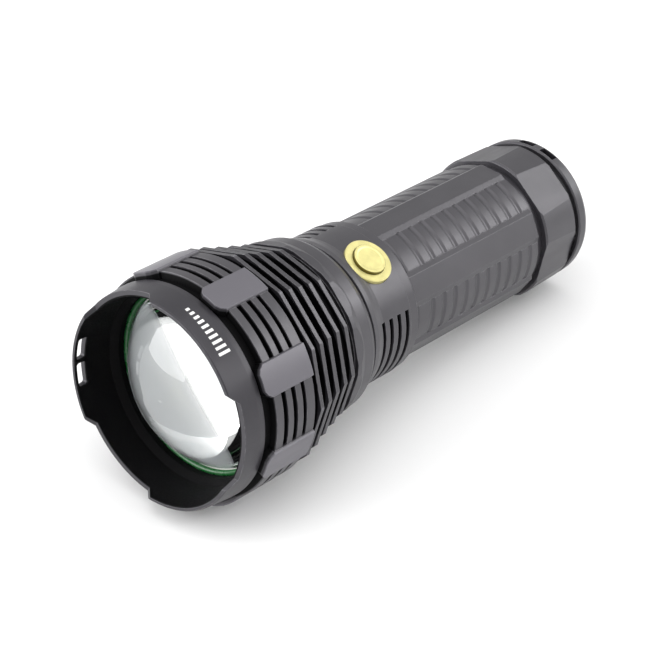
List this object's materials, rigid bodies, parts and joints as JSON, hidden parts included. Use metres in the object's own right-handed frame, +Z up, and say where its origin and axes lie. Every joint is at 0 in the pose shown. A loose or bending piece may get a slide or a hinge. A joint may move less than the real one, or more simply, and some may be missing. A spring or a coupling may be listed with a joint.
{
  "type": "tactical flashlight",
  "caption": "Black anodised zoom flashlight: scalloped hood, convex lens in a sliding finned head, gold side button, ribbed battery tube and screw-on tail cap.",
  "frame": {"origin": "centre of the tail cap's end face, on the light's axis", "axes": "light lies down: +Y along the axis out of the tail, the beam points along -Y; +Z up; the side button is 30 degrees off the top towards +X"},
  "size_m": [0.0794, 0.1986, 0.0794],
  "materials": {
    "anodised_black": "satin black anodising, fine bead-blasted",
    "hood_black": "satin black anodising, matt black inside",
    "bare_aluminium": "turned, satin",
    "lens_glass": "polished clear, coated",
    "green_seal": "translucent green silicone",
    "black_rubber": "matt black nitrile",
    "black_plastic": "moulded black nylon",
    "white_plastic": "moulded white",
    "gold_anodised": "pale gold, satin turned",
    "brass_contact": "gold-plated brass",
    "spring_steel": "bright nickel-plated wire",
    "steel": "zinc-plated steel",
    "circuit_board": "green solder mask",
    "white_board": "white solder mask on an aluminium core",
    "emitter": "yellow phosphor under clear silicone",
    "chip": "black epoxy packages",
    "ferrite": "dark grey ferrite",
    "red_wire": "red silicone insulation",
    "cell_wrap": "blue shrink wrap"
  },
  "bodies": {
    "body": {"battery_tube": "anodised_black", "switch_housing": "anodised_black", "focus_tube": "bare_aluminium", "focus_o_ring_front": "black_rubber", "focus_o_ring_rear": "black_rubber", "stop_ring": "steel", "led_pill": "bare_aluminium", "led_board": "white_board", "led_emitter": "emitter", "led_holder": "white_plastic", "led_screws": "steel", "lead_positive": "red_wire", "lead_negative": "black_rubber", "switch_ring": "gold_anodised", "switch_gasket": "black_rubber", "tact_switch": "chip", "switch_board": "circuit_board", "switch_saddle": "black_plastic", "saddle_screws": "steel", "driver_board": "circuit_board", "driver_inductor": "ferrite", "driver_chips": "chip", "driver_contact": "brass_contact", "driver_spring": "spring_steel", "tube_o_ring": "black_rubber", "tail_o_ring": "black_rubber", "cell_1": "cell_wrap", "cell_2": "cell_wrap", "cell_3": "cell_wrap", "cell_4": "cell_wrap", "cell_springs": "spring_steel", "carrier_front": "black_plastic", "carrier_rear": "black_plastic", "carrier_rods": "steel", "carrier_stud": "brass_contact", "carrier_contact": "brass_contact"},
    "focus_head": {"head_shell": "anodised_black", "hood_bezel": "hood_black", "fin_collar": "anodised_black", "lens": "lens_glass", "lens_gasket": "green_seal", "lens_seat_ring": "white_plastic"},
    "power_button": {"button_cap": "gold_anodised", "tact_plunger": "white_plastic"},
    "tail_contact": {"contact_plate": "brass_contact", "tail_spring": "spring_steel"},
    "tail_cap_body": {"tail_cap": "anodised_black", "contact_retainer": "steel"}
  },
  "joints": [
    {"name": "focus_slide", "type": "slide", "parent": "body", "child": "focus_head", "axis": [0, -1, 0], "range_m": [0, 0.014]},
    {"name": "button_press", "type": "slide", "parent": "body", "child": "power_button", "axis": [-0.5, 0, -0.866], "range_m": [0, 0.001], "stiffness_N_per_m": 900, "springref_m": -0.0006},
    {"name": "tail_travel", "type": "slide", "parent": "body", "child": "tail_contact", "axis": [0, 1, 0], "range_m": [0, 0.00675]},
    {"name": "tail_turn", "type": "hinge", "parent": "tail_contact", "child": "tail_cap_body", "pos_m": [0, 0, 0], "axis": [0, 1, 0], "range_deg": [0, 1620.5]}
  ],
  "couplings": [
    {"joint": "tail_turn", "follows": "tail_travel", "rad_per_m": 4188.8}
  ]
}
